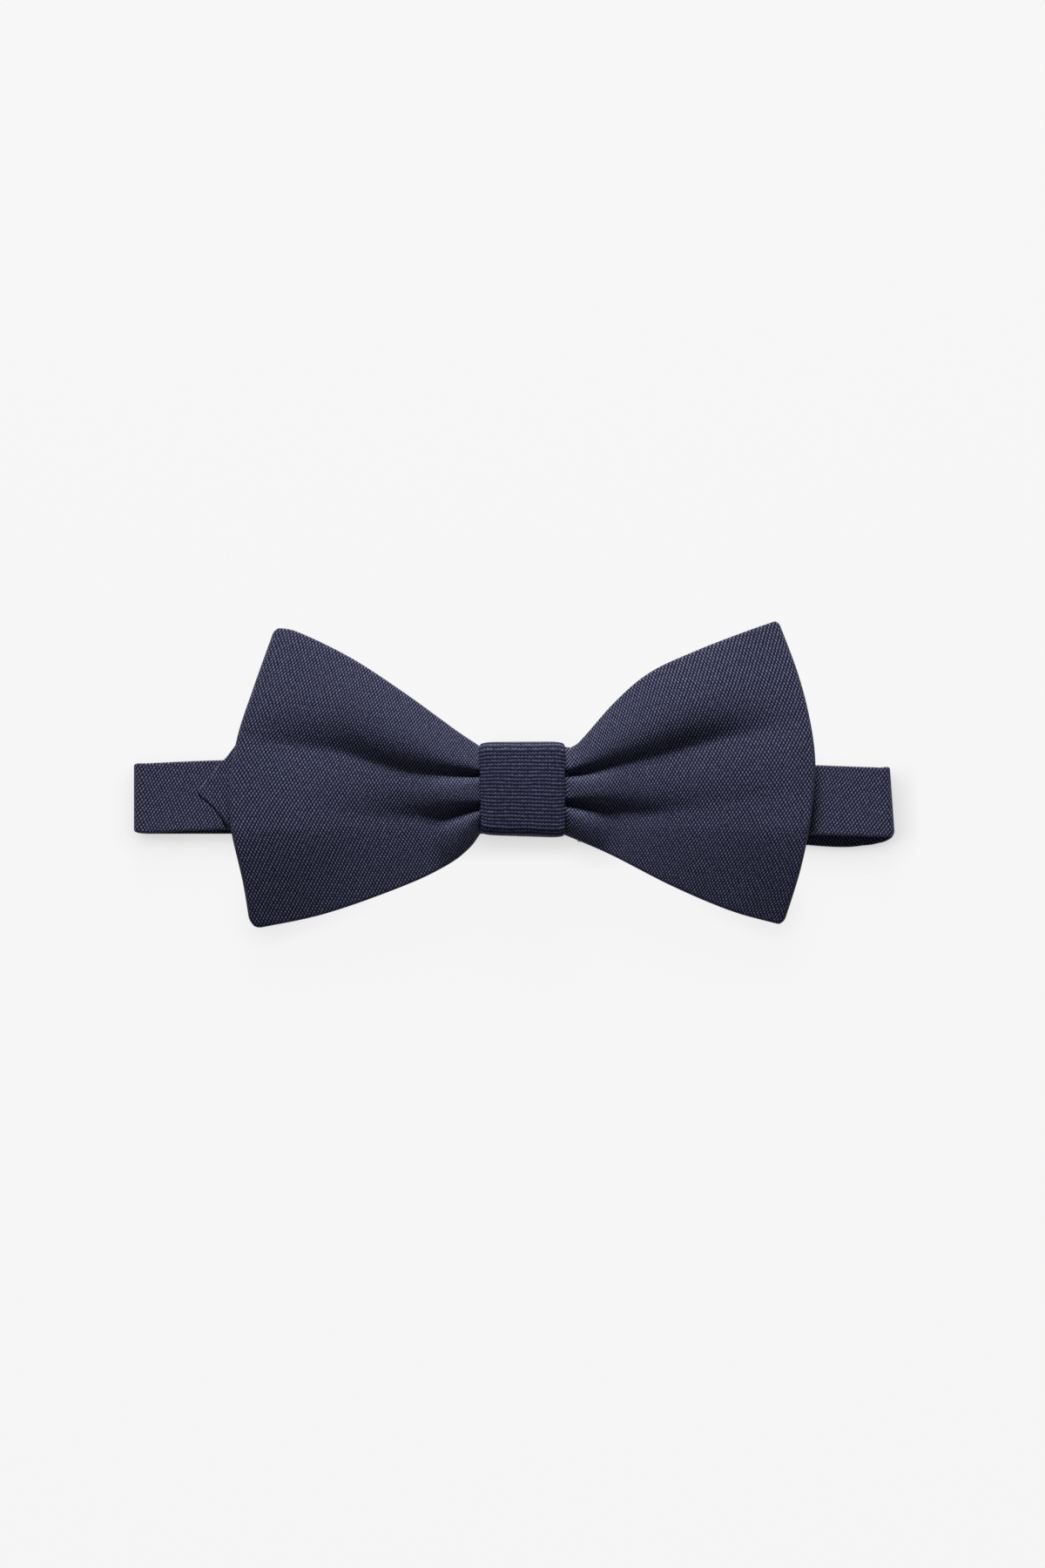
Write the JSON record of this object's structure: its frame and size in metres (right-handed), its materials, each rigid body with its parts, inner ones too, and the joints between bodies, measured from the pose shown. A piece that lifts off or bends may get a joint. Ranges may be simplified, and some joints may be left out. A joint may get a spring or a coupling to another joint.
{
  "type": "bow tie",
  "caption": "Ready-tied butterfly bow tie with a knot, doubled wings and an adjustable neck strap that closes with a hook and eye.",
  "frame": {"origin": "under the middle of the whole tie, on the plane that the neck strap rests on; the knot's middle is 2 mm to the right and 3 mm down from it", "axes": "+X to the right of the front view, +Y towards the top of the bow, +Z out of the front of the bow"},
  "size_m": [0.1572, 0.0626, 0.0146],
  "materials": {
    "bow_cloth": "matte natte weave",
    "knot_cloth": "matte natte weave",
    "strap_cloth": "matte natte weave",
    "interlining": "felted",
    "thread": "spun polyester",
    "label": "satin weave",
    "hardware": "nickel plated"
  },
  "bodies": {
    "bow": {"front_bow_shell": "bow_cloth", "front_bow_interlining": "interlining", "back_bow_face": "bow_cloth", "back_bow_interlining": "interlining", "back_bow_backing": "bow_cloth", "waist_thread": "thread", "knot_band": "knot_cloth", "knot_interlining": "interlining", "knot_stitches": "thread", "strap_front_run": "strap_cloth", "strap_front_interlining": "interlining", "strap_front_left": "strap_cloth", "strap_right_fold": "strap_cloth"},
    "left_end": {"strap_left_fold": "strap_cloth"},
    "strap_left": {"strap_left_run": "strap_cloth", "strap_hook_stretch": "strap_cloth"},
    "hook_turn": {"strap_hook_turn": "strap_cloth", "strap_return_run": "strap_cloth"},
    "slider": {"slider_frame": "hardware", "strap_end_wrap": "strap_cloth", "end_bartack": "thread"},
    "hook": {"hook": "hardware"},
    "strap_right": {"strap_right_run": "strap_cloth", "strap_right_interlining": "interlining", "eye_bartack": "thread", "care_label": "label", "label_stitches": "thread"},
    "eye": {"eye": "hardware"}
  },
  "joints": [
    {"name": "neck_size", "type": "slide", "parent": "bow", "child": "left_end", "axis": [-1, 0, 0], "range_m": [0, 0.024], "deforming": ["strap_front_left"]},
    {"name": "left_fold", "type": "hinge", "parent": "left_end", "child": "strap_left", "pos_m": [-0.07827, -0.005, 0.00275], "axis": [0, 1, 0], "range_deg": [0, 180], "deforming": ["strap_left_fold"]},
    {"name": "right_fold", "type": "hinge", "parent": "bow", "child": "strap_right", "pos_m": [0.07827, -0.00622, 0.00275], "axis": [0, -1, 0], "range_deg": [0, 180], "deforming": ["strap_right_fold"]},
    {"name": "hook_feed", "type": "slide", "parent": "strap_left", "child": "hook_turn", "axis": [1, 0, 0], "range_m": [0, 0.024], "deforming": ["strap_hook_stretch"]},
    {"name": "slider_feed", "type": "slide", "parent": "hook_turn", "child": "slider", "axis": [1, 0, 0], "range_m": [0, 0.024], "deforming": ["strap_return_run"]},
    {"name": "hook_swing", "type": "hinge", "parent": "hook_turn", "child": "hook", "pos_m": [0.01395, -0.0051, 0.0014], "axis": [0, 1, 0], "range_deg": [0, 60]},
    {"name": "eye_swing", "type": "hinge", "parent": "strap_right", "child": "eye", "pos_m": [0.03395, -0.0051, 0.0014], "axis": [0, 1, 0], "range_deg": [0, 18]}
  ],
  "couplings": [
    {"joint": "right_fold", "follows": "left_fold", "ratio": 1},
    {"joint": "hook_feed", "follows": "neck_size", "ratio": 1},
    {"joint": "slider_feed", "follows": "neck_size", "ratio": 1}
  ]
}
